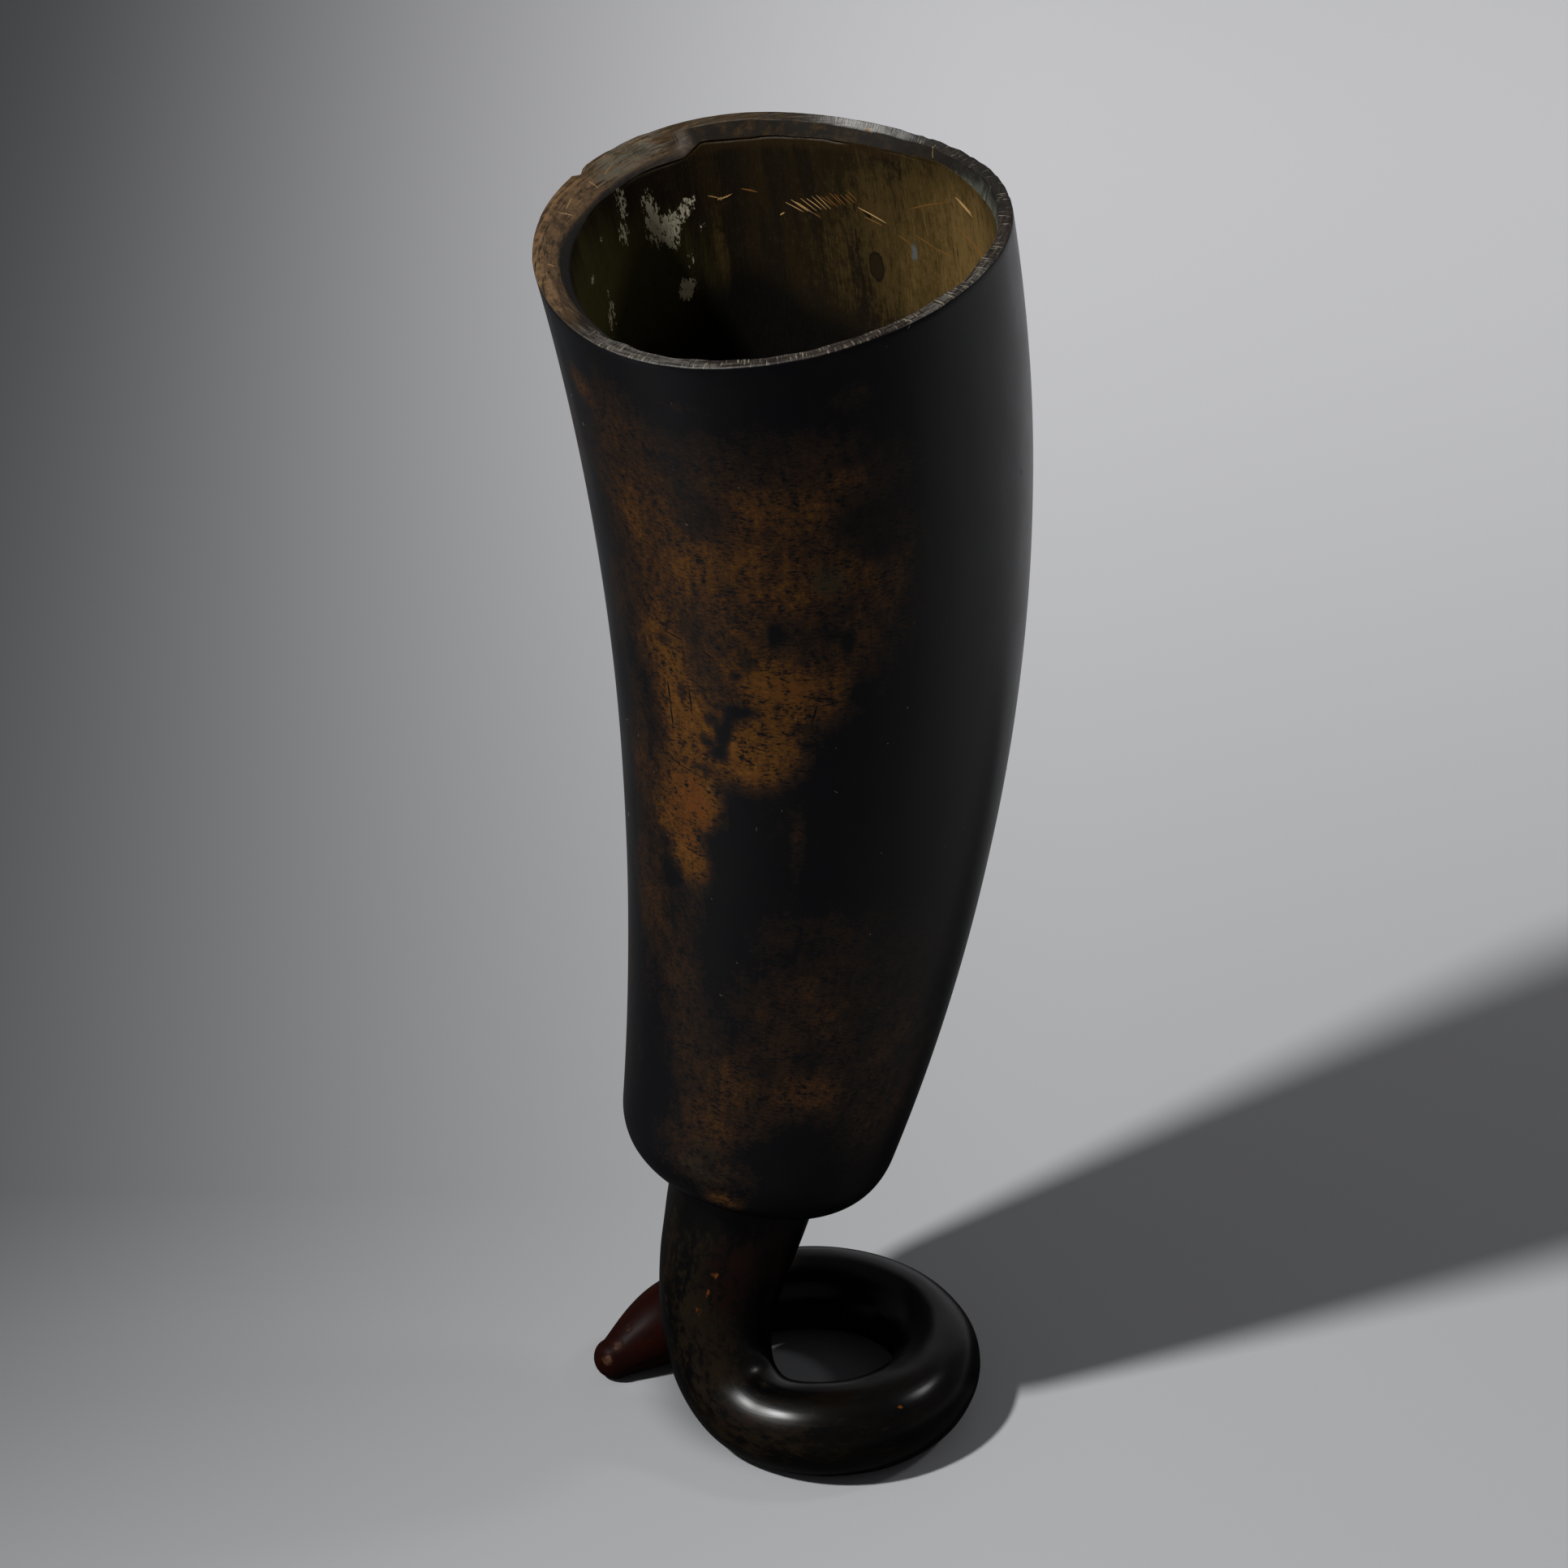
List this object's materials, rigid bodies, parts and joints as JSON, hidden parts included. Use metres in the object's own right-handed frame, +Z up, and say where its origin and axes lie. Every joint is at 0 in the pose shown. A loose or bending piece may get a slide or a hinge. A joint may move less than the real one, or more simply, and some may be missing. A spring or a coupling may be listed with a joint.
{
  "type": "horn cup",
  "caption": "Tall drinking cup made from one curved cattle horn, standing on its own solid point, which is pared to a stem and bent into a flat loop foot.",
  "frame": {"origin": "middle of the bounding box's bottom face, on the surface that the cup stands on", "axes": "+Z up to the mouth; seen along +Y, +X is to the right, the loop lies right of the stem and the point comes out on the left"},
  "size_m": [0.0638, 0.0598, 0.1868],
  "materials": {
    "horn_wall": "hand-polished dark horn with worn amber patches outside, raw olive-tan horn inside",
    "horn_base": "hand-polished dark brown horn",
    "horn_stem": "hand-polished dark reddish brown horn",
    "horn_loop": "glossy black-brown horn",
    "horn_point": "glossy mahogany-red horn with a raw pale end"
  },
  "bodies": {
    "root": {"cup_wall": "horn_wall", "cup_base": "horn_base", "stem": "horn_stem", "foot_loop": "horn_loop", "horn_point": "horn_point"}
  },
  "joints": []
}
